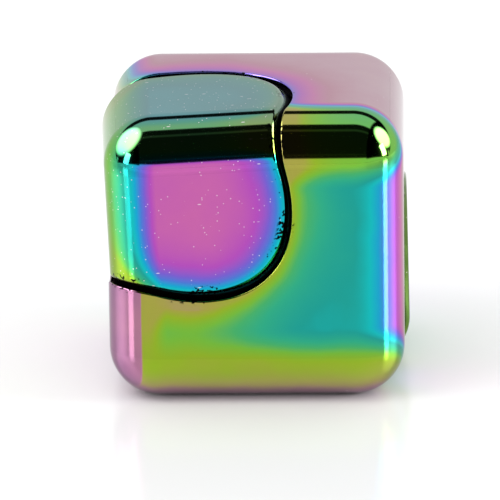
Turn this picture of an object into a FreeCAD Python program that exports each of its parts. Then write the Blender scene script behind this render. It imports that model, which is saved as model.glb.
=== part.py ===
import FreeCAD, Part

import math
import os
import re

import Sketcher
from FreeCAD import Placement, Rotation, Vector

# Fidget cube: a metal cube that spins about its body diagonal between two corner caps.
#
# The cube body is bored from two opposite corners. Each bore holds a corner cap that completes the
# cube's shape. A ball bearing in the middle lets the body spin while the two caps are pinched.
#
# Units are millimetres. The origin is the centre of the cube's bottom face, +X right, +Y back and
# +Z up. Every piece is drawn about the spin axis: local Z runs along the diagonal, with its zero at
# the cube's centre and its positive end at the upper, left, front corner.

# Driving dimensions: alias, number, meaning.
SIZES = [
    ("cube_size", 25.0, "side of the cube"),
    ("edge_radius", 4.25, "rounding of the cube's edges and corners"),
    ("bore_radius", 10.95, "bore in the body that holds a corner cap"),
    ("bore_lip", 0.12, "rounding of the bore's mouth"),
    ("cap_radius", 10.5, "turned side of a corner cap"),
    ("cap_lip", 0.3, "rounding of a cap's rim and the chamfer of its base"),
    ("floor_height", 4.6, "floor of the bore, from the cube's centre"),
    ("cap_base", 4.95, "flat base of a corner cap, from the cube's centre"),
    ("upper_turn_x", 0.7, "degrees that the upper cap's corner stands turned from the body's, about X"),
    ("upper_turn_y", -2.2, "the same about Y"),
    ("upper_turn_z", 2.9, "the same about Z"),
    ("upper_shift_x", -0.33, "how far that corner stands off the body's, along X"),
    ("upper_shift_y", 0.05, "the same along Y"),
    ("upper_shift_z", 0.11, "the same along Z"),
    ("lower_turn_x", 0.0, "degrees that the lower cap's corner stands turned, about X"),
    ("lower_turn_y", -0.8, "the same about Y"),
    ("lower_turn_z", 0.5, "the same about Z"),
    ("lower_shift_x", 0.28, "how far that corner stands off the body's, along X"),
    ("lower_shift_y", 0.0, "the same along Y"),
    ("lower_shift_z", 0.06, "the same along Z"),
    ("ring_bore", 3.175, "bearing bore, radius"),
    ("ring_outer", 6.35, "bearing outside, radius"),
    ("ring_width", 4.762, "bearing width"),
    ("ring_edge", 0.2, "rounding of the bearing rings' corners"),
    ("pitch_radius", 4.7625, "circle through the ball centres"),
    ("ball_radius", 0.794, "bearing ball"),
    ("race_radius", 0.826, "groove that the balls run in"),
    ("inner_land", 4.25, "inner ring's shoulder beside its race, radius"),
    ("outer_land", 5.28, "outer ring's shoulder beside its race, radius"),
    ("shield_seat", 5.62, "recess in the outer ring for shield and clip, radius"),
    ("shield_depth", 0.55, "depth of that recess"),
    ("shield_bore", 4.36, "shield's hole, clear of the inner ring, radius"),
    ("shield_thick", 0.2, "sheet of the shield"),
    ("clip_bore", 5.3, "wire clip that holds a shield, inside radius"),
    ("clip_thick", 0.22, "thickness of that clip"),
    ("clip_sweep", 335.0, "degrees that the open wire clip goes round"),
    ("cage_bore", 4.4, "ball cage, inside radius"),
    ("cage_outer", 5.13, "ball cage, outside radius"),
    ("cage_back", 1.45, "cage ring's back, behind the ball centres"),
    ("cage_front", 0.45, "tips of the cage fingers, in front of the ball centres"),
    ("pocket_radius", 0.86, "cage pocket round a ball"),
    ("notch_radius", 0.32, "notch between two cage fingers"),
    ("shoulder_bore", 5.75, "body's shoulder behind the bearing, radius"),
    ("groove_radius", 6.85, "groove for the bearing's circlip"),
    ("circlip_thick", 1.0, "thickness of the circlip"),
    ("circlip_play", 0.04, "play of the circlip in its groove, endwise"),
    ("circlip_outer", 6.8, "circlip, outside radius"),
    ("circlip_inner", 5.85, "circlip, inside radius"),
    ("circlip_sweep", 318.0, "degrees that the open circlip goes round"),
    ("lug_radius", 0.85, "circlip's end lug"),
    ("lug_centre", 5.85, "centre of that lug, from the axis"),
    ("lug_hole", 0.45, "plier hole in the lug, radius"),
    ("spacer_outer", 4.15, "spacer washer, outside radius"),
    ("spacer_edge", 0.25, "chamfer on the spacer's rim"),
    ("bush_bore", 2.05, "axle bush, inside radius"),
    ("bush_play", 0.05, "how far the axle bush stops short of each cap"),
    ("stud_radius", 2.0, "tie stud, radius over its thread"),
    ("stud_reach", 9.2, "half the length of the tie stud"),
    ("stud_point", 0.5, "chamfer on the stud's ends"),
    ("hole_reach", 10.2, "end of the tapped hole in a cap, from the cube's centre"),
    ("key_across", 2.0, "hexagon socket in one end of the stud, across its flats"),
    ("key_depth", 1.8, "depth of that socket"),
]
BALL_COUNT = 10
FAR = "30"     # outside every surface of the cube, for the outlines that cut pieces back
TURN = 360.0

document = FreeCAD.newDocument("fidget_cube")
sheet = document.addObject("Spreadsheet::Sheet", "sizes")
for row, (alias, number, meaning) in enumerate(SIZES, start=1):
    sheet.set(f"A{row}", alias)
    sheet.set(f"B{row}", str(number))
    sheet.set(f"C{row}", meaning)
    sheet.setAlias(f"B{row}", alias)
document.recompute()
parts = []


def size(expression):
    """The number that an expression in the sheet's aliases has now."""
    return float(sheet.evalExpression(expression))


def bind(feature, prop, expression):
    """Drive a property with an expression in the sheet's aliases."""
    for alias, _, _ in SIZES:
        expression = re.sub(rf"\b{alias}\b", f"sizes.{alias}", expression)
    feature.setExpression(prop, expression)


def diagonal_tilt():
    """Rotation that lays local Z along the cube's diagonal."""
    along = Vector(-1, -1, 1).normalize()
    across = Vector(1, -1, 0).normalize()
    return Rotation(across, along.cross(across), along, "ZXY")


def on_axis(flipped=False):
    """Placement of a piece on the spin axis, facing one end or the other."""
    facing = Rotation(Vector(1, 0, 0), 180.0 if flipped else 0.0)
    return Placement(Vector(0, 0, size("cube_size / 2")), diagonal_tilt() * facing)


def new_body(label, flipped=False):
    body = document.addObject("PartDesign::Body", label)
    body.Label = label
    body.Placement = on_axis(flipped)
    parts.append(body)
    return body


def origin_feature(body, role):
    return next(feature for feature in body.Origin.OriginFeatures if feature.Role == role)


def new_sketch(body, name, plane, rise="0"):
    """A sketch on one of the body's own planes, raised along that plane's normal."""
    sketch = body.newObject("Sketcher::SketchObject", f"{body.Label}_{name}")
    sketch.AttachmentSupport = [(origin_feature(body, plane), "")]
    sketch.MapMode = "FlatFace"
    bind(sketch, "AttachmentOffset.Base.z", rise)
    return sketch


def pin_point(sketch, index, position, across, up):
    """Hold one point of a sketch at two expressions, measured from the sketch's origin."""
    for kind, expression in (("DistanceX", across), ("DistanceY", up)):
        constraint = Sketcher.Constraint(kind, -1, 1, index, position, size(expression))
        number = sketch.addConstraint(constraint)
        bind(sketch, f"Constraints[{number}]", expression)


def outline(body, name, points, plane="XZ_Plane", rise="0"):
    """A closed outline of straight lines, each point given as two expressions."""
    sketch = new_sketch(body, name, plane, rise)
    corners = [Vector(size(across), size(up), 0) for across, up in points]
    for index, corner in enumerate(corners):
        following = corners[(index + 1) % len(corners)]
        sketch.addGeometry(Part.LineSegment(corner, following))
    for index in range(len(corners)):
        joined = Sketcher.Constraint("Coincident", index, 2, (index + 1) % len(corners), 1)
        sketch.addConstraint(joined)
    for index, (across, up) in enumerate(points):
        pin_point(sketch, index, 1, across, up)
    return sketch


def circle(body, name, across, up, radius, plane="XZ_Plane", rise="0"):
    sketch = new_sketch(body, name, plane, rise)
    centre = Vector(size(across), size(up), 0)
    sketch.addGeometry(Part.Circle(centre, Vector(0, 0, 1), size(radius)))
    pin_point(sketch, 0, 3, across, up)
    number = sketch.addConstraint(Sketcher.Constraint("Radius", 0, size(radius)))
    bind(sketch, f"Constraints[{number}]", radius)
    return sketch


def rectangle(inner, outer, low, high):
    """Corners of a ring's section."""
    return [(inner, low), (outer, low), (outer, high), (inner, high)]


def turned(body, kind, sketch, sweep="360"):
    """Revolution or Groove of a sketch about the spin axis, even to both sides of its plane."""
    feature = body.newObject(f"PartDesign::{kind}", f"{sketch.Name}_turned")
    feature.Profile = sketch
    feature.ReferenceAxis = (origin_feature(body, "Z_Axis"), [""])
    feature.Midplane = True
    bind(feature, "Angle", sweep)
    document.recompute()
    return feature


def extruded(body, kind, sketch, length, backward=False):
    """Pad or Pocket of a sketch."""
    feature = body.newObject(f"PartDesign::{kind}", f"{sketch.Name}_extruded")
    feature.Profile = sketch
    feature.Reversed = backward
    bind(feature, "Length", length)
    document.recompute()
    return feature


def around_axis(body, feature, count):
    """Repeat a feature evenly round the spin axis."""
    pattern = body.newObject("PartDesign::PolarPattern", f"{feature.Name}_pattern")
    pattern.Originals = [feature]
    pattern.Axis = (origin_feature(body, "Z_Axis"), [""])
    pattern.Angle = TURN
    pattern.Occurrences = count
    body.Tip = pattern
    document.recompute()
    return pattern


def edge_names(feature, wanted):
    """Names of the edges whose every sampled point, as (radius, height), passes the test."""
    names = []
    for number, edge in enumerate(feature.Shape.Edges, start=1):
        if edge.Degenerated:
            continue
        points = edge.discretize(9)
        if all(wanted(math.hypot(point.x, point.y), point.z) for point in points):
            names.append(f"Edge{number}")
    return names


def ring_circles(feature, names):
    """Of the named edges, those that go round the axis."""
    edges = {f"Edge{number}": edge for number, edge in enumerate(feature.Shape.Edges, start=1)}
    return [name for name in names if edges[name].BoundBox.ZLength < 0.01]


def eased(body, kind, base, names, radius):
    """Fillet or Chamfer on named edges of a feature."""
    feature = body.newObject(f"PartDesign::{kind}", f"{base.Name}_{kind}")
    feature.Base = (base, names)
    bind(feature, "Radius" if kind == "Fillet" else "Size", radius)
    document.recompute()
    return feature


def corner_stand(cap):
    """How the upper or lower cap's corner stands in the body: turned and shifted a little."""
    turn = Vector(*(size(f"{cap}_turn_{axis}") for axis in "xyz"))
    shift = Vector(*(size(f"{cap}_shift_{axis}") for axis in "xyz"))
    return Placement(shift, Rotation(turn, turn.Length))


def rounded_cube(body, stand=Placement()):
    """The whole cube with its edges rounded, square to the world or as a cap's corner stands."""
    block = body.newObject("PartDesign::AdditiveBox", f"{body.Label}_block")
    for side in ("Length", "Width", "Height"):
        bind(block, side, "cube_size")
    level = Placement(Vector(), body.Placement.Rotation.inverted())
    middle = Placement(Vector(1, 1, 1) * size("cube_size / 2") * -1, Rotation())
    block.AttachmentOffset = level * stand * middle
    block.AttachmentSupport = [(origin_feature(body, "XY_Plane"), "")]
    block.MapMode = "FlatFace"
    document.recompute()
    every_edge = edge_names(block, lambda radius, height: True)
    return eased(body, "Fillet", block, every_edge, "edge_radius")


def lip(body, base, radius, beyond, rounding):
    """Round the edges that a bore or a turned side makes with the cube's outside."""
    reach = size(radius)
    start = size(beyond) + 0.1
    names = edge_names(base, lambda r, z: abs(r - reach) < 0.01 and abs(z) > start)
    return eased(body, "Fillet", base, names, rounding)


def make_cube_body():
    """Cube bored from two opposite corners, with the bearing's seat in the web between them."""
    body = new_body("cube_body")
    rounded_cube(body)
    seat_end = "-ring_width / 2"
    groove_start = "ring_width / 2"
    groove_end = "ring_width / 2 + circlip_thick + circlip_play"
    bores = outline(body, "bores", [
        ("0", f"-{FAR}"),
        ("bore_radius", f"-{FAR}"),
        ("bore_radius", "-floor_height"),
        ("shoulder_bore", "-floor_height"),
        ("shoulder_bore", seat_end),
        ("ring_outer", seat_end),
        ("ring_outer", groove_start),
        ("groove_radius", groove_start),
        ("groove_radius", groove_end),
        ("ring_outer", groove_end),
        ("ring_outer", "floor_height"),
        ("bore_radius", "floor_height"),
        ("bore_radius", FAR),
        ("0", FAR),
    ])
    bored = turned(body, "Groove", bores)
    lip(body, bored, "bore_radius", "floor_height", "bore_lip")


def make_corner_cap(label, cap, flipped):
    """Corner of the cube, turned down to a round side, with a tapped hole in its flat base."""
    body = new_body(label, flipped=flipped)
    rounded_cube(body, corner_stand(cap))
    waste = outline(body, "waste", [
        ("0", f"-{FAR}"),
        (FAR, f"-{FAR}"),
        (FAR, FAR),
        ("cap_radius", FAR),
        ("cap_radius", "cap_base"),
        ("0", "cap_base"),
    ])
    corner = turned(body, "Groove", waste)
    lipped = lip(body, corner, "cap_radius", "cap_base", "cap_lip")
    foot = edge_names(lipped, lambda r, z: r > 1 and abs(z - size("cap_base")) < 0.01)
    eased(body, "Chamfer", lipped, foot, "cap_lip")
    tapped = outline(body, "tapped_hole", [
        ("0", "cap_base - 1"),
        ("stud_radius", "cap_base - 1"),
        ("stud_radius", "hole_reach"),
        ("0", "hole_reach + stud_radius * 0.6"),
    ])
    turned(body, "Groove", tapped)


def make_outer_ring():
    body = new_body("bearing_outer_ring")
    half = "ring_width / 2"
    blank = turned(body, "Revolution", outline(body, "section", [
        ("outer_land", f"-{half} + shield_depth"),
        ("shield_seat", f"-{half} + shield_depth"),
        ("shield_seat", f"-{half}"),
        ("ring_outer", f"-{half}"),
        ("ring_outer", half),
        ("shield_seat", half),
        ("shield_seat", f"{half} - shield_depth"),
        ("outer_land", f"{half} - shield_depth"),
    ]))
    corners = edge_names(blank, lambda r, z: r > size("ring_outer") - 0.01)
    eased(body, "Fillet", blank, ring_circles(blank, corners), "ring_edge")
    turned(body, "Groove", circle(body, "race", "pitch_radius", "0", "race_radius"))


def make_inner_ring():
    body = new_body("bearing_inner_ring")
    half = "ring_width / 2"
    section = rectangle("ring_bore", "inner_land", f"-{half}", half)
    blank = turned(body, "Revolution", outline(body, "section", section))
    corners = edge_names(blank, lambda r, z: r < size("ring_bore") + 0.01)
    eased(body, "Fillet", blank, ring_circles(blank, corners), "ring_edge")
    turned(body, "Groove", circle(body, "race", "pitch_radius", "0", "race_radius"))


def make_cage():
    """Crown cage: a ring behind the balls, with a snap-in pocket for each of them."""
    body = new_body("ball_cage")
    section = rectangle("cage_bore", "cage_outer", "-cage_back", "cage_front")
    turned(body, "Revolution", outline(body, "section", section))
    pocket = body.newObject("PartDesign::SubtractiveSphere", "ball_cage_pocket")
    bind(pocket, "Radius", "pocket_radius")
    bind(pocket, "AttachmentOffset.Base.x", "pitch_radius")
    pocket.AttachmentSupport = [(origin_feature(body, "XY_Plane"), "")]
    pocket.MapMode = "FlatFace"
    document.recompute()
    around_axis(body, pocket, BALL_COUNT)
    halfway = f"{TURN / 2 / BALL_COUNT} deg"
    notch = circle(body, "notch", f"pitch_radius * cos({halfway})", f"pitch_radius * sin({halfway})",
                   "notch_radius", "XY_Plane", "cage_front")
    cut = extruded(body, "Pocket", notch, "cage_front + cage_back / 3")
    around_axis(body, cut, BALL_COUNT)


def make_ball(number):
    ball = document.addObject("Part::Sphere", f"ball_{number:02d}")
    ball.Label = f"ball_{number:02d}"
    bind(ball, "Radius", "ball_radius")
    spin = Placement(Vector(), Rotation(Vector(0, 0, 1), TURN * (number - 1) / BALL_COUNT))
    out = Placement(Vector(size("pitch_radius"), 0, 0), Rotation())
    ball.Placement = on_axis() * spin * out
    parts.append(ball)


def make_shield(label, flipped):
    body = new_body(label, flipped=flipped)
    low = "ring_width / 2 - shield_depth"
    section = rectangle("shield_bore", "shield_seat", low, f"{low} + shield_thick")
    turned(body, "Revolution", outline(body, "section", section))


def make_shield_clip(label, flipped):
    """Open wire clip that keeps a shield in its recess."""
    body = new_body(label, flipped=flipped)
    low = "ring_width / 2 - shield_depth + shield_thick"
    section = rectangle("clip_bore", "shield_seat", low, f"{low} + clip_thick")
    turned(body, "Revolution", outline(body, "section", section), "clip_sweep")


def make_circlip():
    """Internal circlip that keeps the bearing in its seat, with a plier hole in each end lug."""
    body = new_body("bearing_circlip")
    low = "ring_width / 2"
    section = rectangle("circlip_inner", "circlip_outer", low, f"{low} + circlip_thick")
    turned(body, "Revolution", outline(body, "section", section), "circlip_sweep")
    for side, sign in (("left", "-"), ("right", "")):
        across = "lug_centre * cos(circlip_sweep / 2 * 1 deg)"
        up = f"{sign}lug_centre * sin(circlip_sweep / 2 * 1 deg)"
        lug = circle(body, f"{side}_lug", across, up, "lug_radius", "XY_Plane", low)
        extruded(body, "Pad", lug, "circlip_thick")
        hole = circle(body, f"{side}_hole", across, up, "lug_hole", "XY_Plane", low)
        extruded(body, "Pocket", hole, "circlip_thick", backward=True)


def make_spacer(label, flipped):
    """Washer between the bearing's inner ring and a cap."""
    body = new_body(label, flipped=flipped)
    low = "ring_width / 2"
    blank = turned(body, "Revolution",
                   outline(body, "section", rectangle("ring_bore", "spacer_outer", low, "cap_base")))
    rim = edge_names(blank, lambda r, z: r > size("spacer_outer") - 0.01)
    eased(body, "Chamfer", blank, ring_circles(blank, rim), "spacer_edge")


def make_bush():
    """Axle: the sleeve that fills the bearing's bore and the spacers."""
    body = new_body("axle_bush")
    section = rectangle("bush_bore", "ring_bore", "bush_play - cap_base", "cap_base - bush_play")
    turned(body, "Revolution", outline(body, "section", section))


def make_stud():
    """Threaded stud that pulls the two caps together, with a key socket in its upper end."""
    body = new_body("tie_stud")
    turned(body, "Revolution", outline(body, "section", [
        ("0", "-stud_reach"),
        ("stud_radius - stud_point", "-stud_reach"),
        ("stud_radius", "stud_point - stud_reach"),
        ("stud_radius", "stud_reach - stud_point"),
        ("stud_radius - stud_point", "stud_reach"),
        ("0", "stud_reach"),
    ]))
    key = []
    for angle in range(0, 360, 60):
        across = f"key_across / sqrt(3) * cos({angle} deg)"
        up = f"key_across / sqrt(3) * sin({angle} deg)"
        key.append((across, up))
    extruded(body, "Pocket", outline(body, "key", key, "XY_Plane", "stud_reach"), "key_depth")


def check_model():
    """Stop before anything is written if an object failed or a piece isn't one sound solid."""
    for item in document.Objects:
        if {"Invalid", "Error"} & set(item.State):
            raise RuntimeError(f"{item.Name} is {item.State}")
    for piece in parts:
        if piece.Shape.isNull() or not piece.Shape.isValid() or len(piece.Shape.Solids) != 1:
            raise RuntimeError(f"{piece.Label} isn't one valid solid")


def write_parts():
    os.makedirs("parts", exist_ok=True)
    for piece in parts:
        piece.Shape.exportStep(f"parts/{piece.Label}.step")
        print(f"{piece.Label:22s} {piece.Shape.Volume:9.3f} mm3")


make_cube_body()
make_corner_cap("upper_corner_cap", "upper", flipped=False)
make_corner_cap("lower_corner_cap", "lower", flipped=True)
make_outer_ring()
make_inner_ring()
make_cage()
for ball_number in range(1, BALL_COUNT + 1):
    make_ball(ball_number)
make_shield("upper_shield", flipped=False)
make_shield("lower_shield", flipped=True)
make_shield_clip("upper_shield_clip", flipped=False)
make_shield_clip("lower_shield_clip", flipped=True)
make_circlip()
make_spacer("upper_spacer", flipped=False)
make_spacer("lower_spacer", flipped=True)
make_bush()
make_stud()
document.recompute()
check_model()
write_parts()
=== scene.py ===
import math

import bpy
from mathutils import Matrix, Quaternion, Vector


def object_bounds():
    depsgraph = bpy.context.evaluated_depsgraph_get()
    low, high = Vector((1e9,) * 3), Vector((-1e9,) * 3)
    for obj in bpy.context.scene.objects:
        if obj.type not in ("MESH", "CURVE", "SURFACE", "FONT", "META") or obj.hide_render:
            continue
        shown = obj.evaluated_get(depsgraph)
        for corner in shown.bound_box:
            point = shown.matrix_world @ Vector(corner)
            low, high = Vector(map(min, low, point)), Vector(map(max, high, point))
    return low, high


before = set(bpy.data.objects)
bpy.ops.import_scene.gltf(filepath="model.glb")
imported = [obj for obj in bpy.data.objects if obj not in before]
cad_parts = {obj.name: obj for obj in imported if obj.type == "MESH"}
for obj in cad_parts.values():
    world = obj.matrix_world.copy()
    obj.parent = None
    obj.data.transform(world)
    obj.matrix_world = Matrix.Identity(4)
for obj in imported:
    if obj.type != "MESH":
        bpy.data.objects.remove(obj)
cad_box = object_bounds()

# The cube's own sizes in millimetres, measured from its centre.
CENTRE_HEIGHT = 12.5
HALF_SIDE = 12.5
EDGE_RADIUS = 4.25
BORE_RADIUS = 10.95
CAP_RADIUS = 10.5
SPIN_AXIS = Vector((-1, -1, 1)).normalized()
CORE = HALF_SIDE - EDGE_RADIUS
MIDDLE = Vector((0, 0, CENTRE_HEIGHT / 1000))
WHITE = (1.0, 1.0, 1.0, 1.0)

# How each cap's corner stands in the body: turned, in degrees about X, Y and Z, and shifted.
UPPER_STAND = ((0.7, -2.2, 2.9), (-0.33, 0.05, 0.11))
LOWER_STAND = ((0.0, -0.8, 0.5), (0.28, 0.0, 0.06))


def linear(code):
    """An sRGB hex colour as linear red, green and blue, with a full alpha."""
    shares = [int(code[start:start + 2], 16) / 255 for start in (1, 3, 5)]
    return [c / 12.92 if c <= 0.04045 else ((c + 0.055) / 1.055) ** 2.4 for c in shares] + [1.0]


def node(tree, kind, wires=None, **settings):
    """Adds a node. Each wire is an input's value, a socket, or a node for its first output."""
    made = tree.nodes.new(kind)
    for name, value in settings.items():
        setattr(made, name, value)
    for name, value in (wires or {}).items():
        if isinstance(value, bpy.types.Node):
            value = value.outputs[0]
        if isinstance(value, bpy.types.NodeSocket):
            tree.links.new(value, made.inputs[name])
        else:
            made.inputs[name].default_value = value
    return made


# ---------------------------------------------------------------- rainbow coat

# Near-black: painted shade on the walls inside the seam, where little light reaches, and also the
# colour of the dark nicks on the seam's lip.
SEAM_SHADE_AND_NICK_DARK = "#0b0a0d"

# Interference colours of the titanium film, from its thinnest to its thickest.
FILM_COLOURS = (
    (0.00, "#d9bdb9"), (0.06, "#c9a5b2"), (0.12, "#c0859b"), (0.18, "#cb68ab"), (0.26, "#b651bd"),
    (0.34, "#7a62d2"), (0.40, "#4f7cd7"), (0.46, "#1ca6d4"), (0.52, "#18bfc0"), (0.58, "#23a297"),
    (0.66, "#35b088"), (0.72, "#4bb46d"), (0.78, "#78bd40"), (0.84, "#95b52d"), (0.90, "#a9a34a"),
    (0.94, "#b87f96"), (1.00, "#8f5b8c"),
)

# Film thickness on the right, back and top faces, then on the left, front and bottom faces,
# and in the same order how far each face fades: to a thin grey film on the body and the upper
# cap, and to a dark green painted shade on the lower cap.
BODY_FILM = ((0.06, 0.35, 0.06), (1.0, 0.56, 0.98))
BODY_FADE = ((0.1, 0.1, 0.15), (0.25, 0.0, 0.95))
UPPER_FILM = ((0.18, 0.18, 0.54), (0.8, 0.19, 0.5))
UPPER_FADE = ((0.0, 0.0, 0.75), (0.1, 0.0, 0.5))
LOWER_FILM = ((0.7, 0.19, 0.5), (0.18, 0.18, 0.54))
# The lower cap's fade is painted shade: darkest on its right face, in the seam's shadow, and less on
# its bottom and top.
LOWER_SHADE = ((0.7, 0.0, 0.3), (0.0, 0.0, 0.5))

# Edges with a film of their own: the way from the centre to the edge, the thickness on the
# first face's side and on the second's, in the order X, Y, Z, and the distances from the sharp
# edge line, in millimetres, between which it takes over.
BODY_EDGES = (
    ((-1, -1, 0), 1.0, 0.70, 17.0, 6.5),
    ((0, -1, -1), 0.84, 1.0, 7.0, 3.6),
    ((0, -1, 1), 0.77, 0.72, 6.0, 3.6),
    ((-1, -1, 0), 1.0, 0.82, 5.2, 3.4),
    ((-1, -1, 0), 1.0, 0.95, 3.05, 2.8),
)
CAP_EDGES = (((0, -1, 1), 0.74, 0.76, 3.5, 2.2),)


def film_material(name, film, fade_and_shade, edges, rim, fade_and_shade_colour, blend, specks, stand=None):
    """Rainbow vapour coating on mirror-polished zinc alloy.

    It mirrors like a metal, and its colour comes from the film's thickness, which differs
    from face to face and grows at the edges and towards the seam. The walls inside the seam
    are painted near-black as shade, and the lower cap fades to a dark green painted shade.
    rim is the seam's radius, the thickness that it adds, how far that reaches and where it
    stops. blend is how softly the film passes from face to face along X, Y and Z, specks the
    share of the fine marks that the skin has, and stand how a cap's corner is turned and
    shifted.
    """
    material = bpy.data.materials.new(name)
    material.use_nodes = True
    tree = material.node_tree
    tree.nodes.clear()
    spot = node(tree, "ShaderNodeTexCoord").outputs["Object"]
    spot = node(
        tree, "ShaderNodeVectorMath", operation="MULTIPLY_ADD",
        wires={0: spot, 1: (1000,) * 3, 2: (0, 0, -CENTRE_HEIGHT)},
    )

    # The way out from the spin axis, and how far.
    from_axis = node(tree, "ShaderNodeVectorMath", {0: spot, 1: SPIN_AXIS}, operation="PROJECT")
    from_axis = node(tree, "ShaderNodeVectorMath", {0: spot, 1: from_axis}, operation="SUBTRACT")
    radial = node(tree, "ShaderNodeVectorMath", {0: from_axis}, operation="LENGTH").outputs["Value"]
    from_axis = node(tree, "ShaderNodeVectorMath", {0: from_axis}, operation="NORMALIZE")
    if stand:
        turn, shift = (Vector(row) for row in stand)
        spot = node(tree, "ShaderNodeVectorMath", {0: spot, 1: shift}, operation="SUBTRACT")
        spot = node(
            tree, "ShaderNodeVectorRotate", rotation_type="AXIS_ANGLE",
            wires={"Vector": spot, "Axis": turn.normalized(), "Angle": -math.radians(turn.length)},
        )

    # The way that the skin faces, from the part of its place outside the core of the cube.
    held = node(tree, "ShaderNodeVectorMath", {0: spot, 1: (CORE,) * 3}, operation="MINIMUM")
    held = node(tree, "ShaderNodeVectorMath", {0: held, 1: (-CORE,) * 3}, operation="MAXIMUM")
    outward = node(tree, "ShaderNodeVectorMath", {0: spot, 1: held}, operation="SUBTRACT")
    facing = node(tree, "ShaderNodeVectorMath", {0: outward}, operation="NORMALIZE")

    # Each face's own film and its fading, which on the lower cap is painted shade, by how far the skin
    # faces that way.
    totals = []
    for table, power in ((film, blend), (fade_and_shade, (3.0, 3.0, 3.0))):
        total = 0.0
        for values, kept in zip(table, ("MAXIMUM", "MINIMUM")):
            share = node(tree, "ShaderNodeVectorMath", {0: facing, 1: (0, 0, 0)}, operation=kept)
            share = node(tree, "ShaderNodeVectorMath", {0: share}, operation="ABSOLUTE")
            share = node(tree, "ShaderNodeVectorMath", {0: share, 1: power}, operation="POWER")
            part = node(tree, "ShaderNodeVectorMath", {0: share, 1: values}, operation="DOT_PRODUCT")
            total = node(
                tree, "ShaderNodeMath", {0: total, 1: part.outputs["Value"]}, operation="ADD",
            )
        totals.append(total)
    thickness, faded_and_shaded = totals

    # Each edge's own film, which leans from its first side's value to its second's.
    squares = node(tree, "ShaderNodeVectorMath", {0: facing, 1: facing}, operation="MULTIPLY")
    for way, first, second, far, near in edges:
        away = node(
            tree, "ShaderNodeVectorMath", operation="MULTIPLY_ADD",
            wires={0: spot, 1: [abs(w) for w in way], 2: [-HALF_SIDE * w for w in way]},
        )
        away = node(tree, "ShaderNodeVectorMath", {0: away}, operation="LENGTH").outputs["Value"]
        close = node(
            tree, "ShaderNodeMapRange", interpolation_type="SMOOTHSTEP",
            wires={"Value": away, "From Min": far, "From Max": near},
        )
        second_axis = (0, 0, 1) if way[2] else (0, 1, 0)
        lean = node(
            tree, "ShaderNodeVectorMath", {0: squares, 1: second_axis}, operation="DOT_PRODUCT",
        ).outputs["Value"]
        value = node(tree, "ShaderNodeMix", {0: lean, 2: first, 3: second})
        thickness = node(tree, "ShaderNodeMix", {0: close, 2: thickness, 3: value})

    # Beside the seam the film runs through its colours again, but only up to a limit. The gap is
    # measured along the skin, so that the coloured ring is as wide on every side.
    radius, gain, reach, limit = rim
    gap = node(tree, "ShaderNodeMath", {0: radial, 1: radius}, operation="SUBTRACT")
    gap = node(tree, "ShaderNodeMath", {0: gap}, operation="ABSOLUTE")
    lean = node(tree, "ShaderNodeVectorMath", {0: from_axis, 1: facing}, operation="DOT_PRODUCT")
    lean = node(
        tree, "ShaderNodeMath", {0: lean.outputs["Value"], 1: lean.outputs["Value"]},
        operation="MULTIPLY",
    )
    lean = node(tree, "ShaderNodeMath", {0: 1.0, 1: lean}, operation="SUBTRACT")
    lean = node(tree, "ShaderNodeMath", {0: lean}, operation="SQRT")
    lean = node(tree, "ShaderNodeMath", {0: lean, 1: 0.3}, operation="MAXIMUM")
    gap = node(tree, "ShaderNodeMath", {0: gap, 1: lean}, operation="DIVIDE")
    near = node(tree, "ShaderNodeMath", {0: gap, 1: -1 / reach}, operation="MULTIPLY")
    near = node(tree, "ShaderNodeMath", {0: near}, operation="EXPONENT")
    grown = node(
        tree, "ShaderNodeMath", {0: near, 1: gain, 2: thickness}, operation="MULTIPLY_ADD",
    )
    grown = node(tree, "ShaderNodeMath", {0: grown, 1: limit}, operation="MINIMUM")
    thickness = node(tree, "ShaderNodeMath", {0: thickness, 1: grown}, operation="MAXIMUM")

    # Clouds about 6 mm across, where the vapour lay a little thicker or thinner.
    cloud = node(tree, "ShaderNodeTexNoise", {"Vector": spot, "Scale": 0.16, "Detail": 3.0})
    cloud = node(tree, "ShaderNodeMath", {0: cloud, 1: 0.08, 2: -0.04}, operation="MULTIPLY_ADD")
    thickness = node(tree, "ShaderNodeMath", {0: thickness, 1: cloud}, operation="ADD")

    ramp = node(tree, "ShaderNodeValToRGB", {"Fac": thickness})
    steps = ramp.color_ramp.elements
    while len(steps) < len(FILM_COLOURS):
        steps.new(0.5)
    for step, (place, code) in zip(steps, FILM_COLOURS):
        step.position = place
        step.color = linear(code)
    # Fade towards the plain colour; on the lower cap this paints shade in dark green.
    colour = node(
        tree, "ShaderNodeMix", {0: faded_and_shaded, 6: ramp, 7: linear(fade_and_shade_colour)}, data_type="RGBA",
    ).outputs[2]

    # Fine marks of handling, drawn about twice as coarse as real ones so that they show: bright
    # specks and short bright scratches. For each, the stretch of the pattern, its cells in a
    # millimetre and the mark's radius as a share of a cell.
    marks = 0.0
    for stretch, cells, size in (((1, 1, 1), 2.3, 0.105), ((0.3, 1, 1.2), 1.3, 0.06)):
        place = node(tree, "ShaderNodeVectorMath", {0: spot, 1: stretch}, operation="MULTIPLY")
        dots = node(tree, "ShaderNodeTexVoronoi", {"Vector": place, "Scale": cells})
        dot = node(
            tree, "ShaderNodeMapRange",
            {"Value": dots.outputs["Distance"], "From Min": size * 1.3, "From Max": size * 0.7},
        )
        chosen = node(
            tree, "ShaderNodeMath", {0: dots.outputs["Color"], 1: 1 - specks}, operation="GREATER_THAN",
        )
        dot = node(tree, "ShaderNodeMath", {0: dot, 1: chosen}, operation="MULTIPLY")
        marks = node(tree, "ShaderNodeMath", {0: marks, 1: dot}, operation="MAXIMUM")
    marks = node(tree, "ShaderNodeMath", {0: marks, 1: 0.75}, operation="MULTIPLY")
    colour = node(
        tree, "ShaderNodeMix", {0: marks, 6: colour, 7: linear("#fbeef5")}, data_type="RGBA",
    ).outputs[2]

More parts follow.
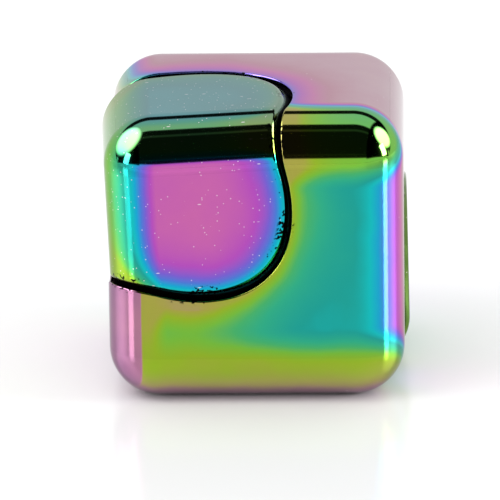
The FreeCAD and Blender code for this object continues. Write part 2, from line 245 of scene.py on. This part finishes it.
    # Dark nicks of about 0.3 mm, in patches along the lip of the seam.
    patch = node(tree, "ShaderNodeTexNoise", {"Vector": spot, "Scale": 0.25, "Detail": 0.0})
    nick = node(tree, "ShaderNodeTexNoise", {"Vector": spot, "Scale": 3.2, "Detail": 1.0})
    nick = node(tree, "ShaderNodeMath", {0: nick, 1: patch}, operation="MULTIPLY")
    nick = node(tree, "ShaderNodeMapRange", {"Value": nick, "From Min": 0.405, "From Max": 0.435})
    beside = node(tree, "ShaderNodeMapRange", {"Value": gap, "From Min": 0.5, "From Max": 0.3})
    nick = node(tree, "ShaderNodeMath", {0: nick, 1: beside}, operation="MULTIPLY")
    colour = node(
        tree, "ShaderNodeMix", {0: nick, 6: colour, 7: linear(SEAM_SHADE_AND_NICK_DARK)}, data_type="RGBA",
    ).outputs[2]

    # Below the skin the walls of the seam are painted near-black as shade, with a rough finish.
    depth = node(tree, "ShaderNodeVectorMath", {0: outward}, operation="LENGTH").outputs["Value"]
    skin = node(
        tree, "ShaderNodeMapRange", interpolation_type="SMOOTHSTEP",
        wires={"Value": depth, "From Min": EDGE_RADIUS - 0.5, "From Max": EDGE_RADIUS - 0.2},
    ).outputs["Result"]
    colour = node(
        tree, "ShaderNodeMix", {0: skin, 6: linear(SEAM_SHADE_AND_NICK_DARK), 7: colour}, data_type="RGBA",
    ).outputs[2]
    rough = node(
        tree, "ShaderNodeMapRange", {"Value": skin, "To Min": 0.6, "To Max": 0.07},
    )
    shader = node(
        tree, "ShaderNodeBsdfPrincipled",
        {
            "Base Color": colour, "Metallic": 1.0, "Roughness": rough,
            "Specular Tint": (0.8, 0.8, 0.8, 1.0),
        },
    )
    node(tree, "ShaderNodeOutputMaterial", {"Surface": shader})
    return material


def steel_material(name, code, roughness, grain):
    """Bare or plated steel of the inner works. Its shine has a fine grain, in millimetres."""
    material = bpy.data.materials.new(name)
    material.use_nodes = True
    tree = material.node_tree
    tree.nodes.clear()
    spot = node(tree, "ShaderNodeTexCoord").outputs["Object"]
    cloud = node(tree, "ShaderNodeTexNoise", {"Vector": spot, "Scale": 1000 / grain, "Detail": 4.0})
    rough = node(
        tree, "ShaderNodeMapRange",
        {"Value": cloud, "To Min": roughness * 0.7, "To Max": roughness * 1.3},
    )
    shade = node(
        tree, "ShaderNodeMix", data_type="RGBA", blend_type="MULTIPLY",
        wires={0: 0.25, 6: linear(code), 7: cloud.outputs["Color"]},
    ).outputs[2]
    shader = node(
        tree, "ShaderNodeBsdfPrincipled", {"Base Color": shade, "Metallic": 1.0, "Roughness": rough},
    )
    node(tree, "ShaderNodeOutputMaterial", {"Surface": shader})
    return material


body_coat = film_material(
    "rainbow_coated_zinc_body", BODY_FILM, BODY_FADE, BODY_EDGES, (BORE_RADIUS, 0.32, 2.0, 0.895),
    "#ac9aa2", blend=(2.0, 1.5, 2.0), specks=0.1,
)
upper_coat = film_material(
    "rainbow_coated_zinc_upper_cap", UPPER_FILM, UPPER_FADE, CAP_EDGES, (CAP_RADIUS, 0.32, 1.5, 0.84),
    "#67858f", blend=(1.15, 1.5, 2.5), specks=0.7, stand=UPPER_STAND,
)
# The lower cap's fade colour, a dark green, is painted shade.
lower_coat = film_material(
    "rainbow_coated_zinc_lower_cap", LOWER_FILM, LOWER_SHADE, (), (CAP_RADIUS, 0.32, 1.5, 0.84),
    "#35553f", blend=(1.15, 1.5, 2.5), specks=0.4, stand=LOWER_STAND,
)
# Rings and balls, ground and lapped: a clear, slightly cold mirror.
ground_steel = steel_material("ground_bearing_steel", "#bcbdc2", 0.12, 0.4)
# Shields and cage, stamped from sheet: a soft grey shine.
pressed_steel = steel_material("pressed_stainless_sheet", "#9e9e9a", 0.3, 0.2)
# Clips, blackened in a bath: nearly black, with a dull sheen.
black_steel = steel_material("black_oxide_spring_steel", "#38383d", 0.45, 0.15)
# Stud, bush and spacers, turned and plated: pale and satin, a little warm.
plated_steel = steel_material("zinc_plated_turned_steel", "#a8a89e", 0.28, 0.25)

finishes = {
    "cube_body": body_coat, "upper_corner_cap": upper_coat, "lower_corner_cap": lower_coat,
    "ball_cage": pressed_steel, "upper_shield": pressed_steel, "lower_shield": pressed_steel,
    "upper_shield_clip": black_steel, "lower_shield_clip": black_steel,
    "bearing_circlip": black_steel, "tie_stud": plated_steel, "axle_bush": plated_steel,
    "upper_spacer": plated_steel, "lower_spacer": plated_steel,
}
for name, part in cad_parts.items():
    part.data.materials.clear()
    part.data.materials.append(finishes.get(name, ground_steel))


# ---------------------------------------------------------------- floor and light

def floor_material():
    """White lacquered board: an even white with a soft gloss over it."""
    material = bpy.data.materials.new("white_lacquered_board")
    material.use_nodes = True
    tree = material.node_tree
    tree.nodes.clear()
    shader = node(
        tree, "ShaderNodeBsdfPrincipled",
        {"Base Color": (0.92, 0.92, 0.92, 1.0), "Roughness": 0.18, "IOR": 1.45},
    )
    node(tree, "ShaderNodeOutputMaterial", {"Surface": shader})
    return material


bpy.ops.mesh.primitive_plane_add(size=8.0, location=(0, 0, cad_box[0].z))
floor = bpy.context.object
floor.name = "floor"
floor.data.materials.append(floor_material())


def area_light(name, place, width, height, radiance, seen_in_metal):
    """A rectangular soft light that faces the cube. radiance is how bright its face is."""
    light = bpy.data.lights.new(name, "AREA")
    light.shape = "RECTANGLE"
    light.size, light.size_y = width, height
    light.energy = radiance * math.pi * width * height
    lamp = bpy.data.objects.new(name, light)
    bpy.context.scene.collection.objects.link(lamp)
    lamp.location = place
    lamp.rotation_mode = "QUATERNION"
    lamp.rotation_quaternion = (MIDDLE - place).to_track_quat("-Z", "Y")
    lamp.visible_camera = False
    lamp.visible_glossy = seen_in_metal


def towards(azimuth, elevation):
    """The direction of a point round the cube. Azimuth 0 is the front and 90 the right side."""
    a, e = math.radians(azimuth), math.radians(elevation)
    return Vector((math.sin(a) * math.cos(e), -math.cos(a) * math.cos(e), math.sin(e)))


area_light("key_softbox", MIDDLE + towards(-60, 55) * 1.6, 0.7, 0.7, 3.2, False)
area_light("front_fill", MIDDLE + towards(0, 60) * 1.6, 1.6, 1.0, 0.5, False)
area_light("right_strip", MIDDLE + towards(79, 15), 0.2, 0.36, 18.0, True)
area_light("left_strip", MIDDLE + towards(-66, 15), 0.22, 0.36, 8.0, True)

world = bpy.data.worlds.new("studio")
bpy.context.scene.world = world
world.use_nodes = True
world.cycles.sampling_method = "NONE"
sky = world.node_tree
sky.nodes.clear()
way = node(sky, "ShaderNodeTexCoord").outputs["Generated"]
parts = node(sky, "ShaderNodeSeparateXYZ", {"Vector": way})
ahead = node(sky, "ShaderNodeMath", {0: parts.outputs["Y"], 1: -1.0}, operation="MULTIPLY")
climb = node(sky, "ShaderNodeMath", {0: parts.outputs["Z"], 1: ahead}, operation="ARCTAN2")
share = node(
    sky, "ShaderNodeMapRange",
    {"Value": climb, "From Min": -math.pi, "From Max": math.pi},
)

# Brightness round the room, by degrees up from the front horizon, over the top, to the back.
PANELS = (
    (0, 1.0), (10.5, 1.0), (12, 0.015), (19, 0.01), (20, 0.05), (21, 0.01), (74, 0.01),
    (76, 0.06), (79, 0.06), (81, 0.01), (93.5, 0.01), (95, 1.0), (128, 1.0), (130, 0.012),
    (143, 0.012), (146, 1.0),
)
panels = node(sky, "ShaderNodeValToRGB", {"Fac": share})
marks = panels.color_ramp.elements
while len(marks) < len(PANELS):
    marks.new(0.5)
for mark, (degrees, level) in zip(marks, PANELS):
    mark.position = 0.5 + degrees / 360
    mark.color = (level, level, level, 1.0)

# Each side of the room is dark above its horizon, outside the overhead softbox's width.
flat = node(sky, "ShaderNodeVectorMath", {0: way, 1: (0, 1, 1)}, operation="MULTIPLY")
flat = node(sky, "ShaderNodeVectorMath", {0: flat}, operation="LENGTH").outputs["Value"]
sideways = node(sky, "ShaderNodeMath", {0: parts.outputs["X"]}, operation="ABSOLUTE")
slope = node(sky, "ShaderNodeMath", {0: sideways, 1: flat}, operation="DIVIDE")
width = node(
    sky, "ShaderNodeMapRange", interpolation_type="SMOOTHSTEP",
    wires={"Value": slope, "From Min": 0.66, "From Max": 0.58},
)
above = node(
    sky, "ShaderNodeMapRange", interpolation_type="SMOOTHSTEP",
    wires={"Value": parts.outputs["Z"], "From Min": 0.10, "From Max": 0.16},
)
backward = node(
    sky, "ShaderNodeMapRange", interpolation_type="SMOOTHSTEP",
    wires={"Value": climb, "From Min": math.radians(141), "From Max": math.radians(145)},
)
inside = node(sky, "ShaderNodeMath", {0: width, 1: backward}, operation="MAXIMUM")
floor_side = node(sky, "ShaderNodeMath", {0: 1.0, 1: above}, operation="SUBTRACT")
inside = node(sky, "ShaderNodeMath", {0: inside, 1: floor_side}, operation="MAXIMUM")
studio = node(sky, "ShaderNodeMath", {0: panels, 1: inside}, operation="MULTIPLY")

# A round softbox on each side: azimuth, elevation, radius and how bright its face is.
for azimuth, elevation, radius, level in ((100, 31, 21, 8.0), (-98, 40, 31, 6.0)):
    nearness = node(
        sky, "ShaderNodeVectorMath", {0: way, 1: towards(azimuth, elevation)},
        operation="DOT_PRODUCT",
    )
    disc = node(
        sky, "ShaderNodeMapRange", interpolation_type="SMOOTHSTEP",
        wires={
            "Value": nearness.outputs["Value"], "From Min": math.cos(math.radians(radius)),
            "From Max": math.cos(math.radians(radius * 0.6)), "To Max": level,
        },
    )
    studio = node(sky, "ShaderNodeMath", {0: studio, 1: disc}, operation="MAXIMUM")

# The metal mirrors the studio. Everything else is lit by an even white, and seen against one.
light_path = node(sky, "ShaderNodeLightPath")
mirrored = node(sky, "ShaderNodeBackground", {"Color": studio})
plain = node(sky, "ShaderNodeBackground", {"Color": WHITE, "Strength": 0.9})
bare = node(sky, "ShaderNodeBackground", {"Color": WHITE})
lit = node(sky, "ShaderNodeMixShader", {0: light_path.outputs["Is Glossy Ray"], 1: plain, 2: mirrored})
lit = node(sky, "ShaderNodeMixShader", {0: light_path.outputs["Is Camera Ray"], 1: lit, 2: bare})
node(sky, "ShaderNodeOutputWorld", {"Surface": lit})


# ---------------------------------------------------------------- camera

eye = Vector((0.01524279, -0.62588135, 0.20372263))
target = Vector((-0.000693, -0.000718, CENTRE_HEIGHT / 1000 - 0.002295))
camera = bpy.data.objects.new("camera", bpy.data.cameras.new("camera"))
bpy.context.scene.collection.objects.link(camera)
camera.location = eye
camera.rotation_mode = "QUATERNION"
camera.rotation_quaternion = (
    (target - eye).to_track_quat("-Z", "Y") @ Quaternion((0, 0, 1), math.radians(-0.781))
)
camera.data.sensor_width = 36.0
camera.data.lens = 551.84
camera.data.clip_start = 0.01
camera.data.clip_end = 20.0
bpy.context.scene.camera = camera
bpy.context.scene.view_settings.view_transform = "Standard"
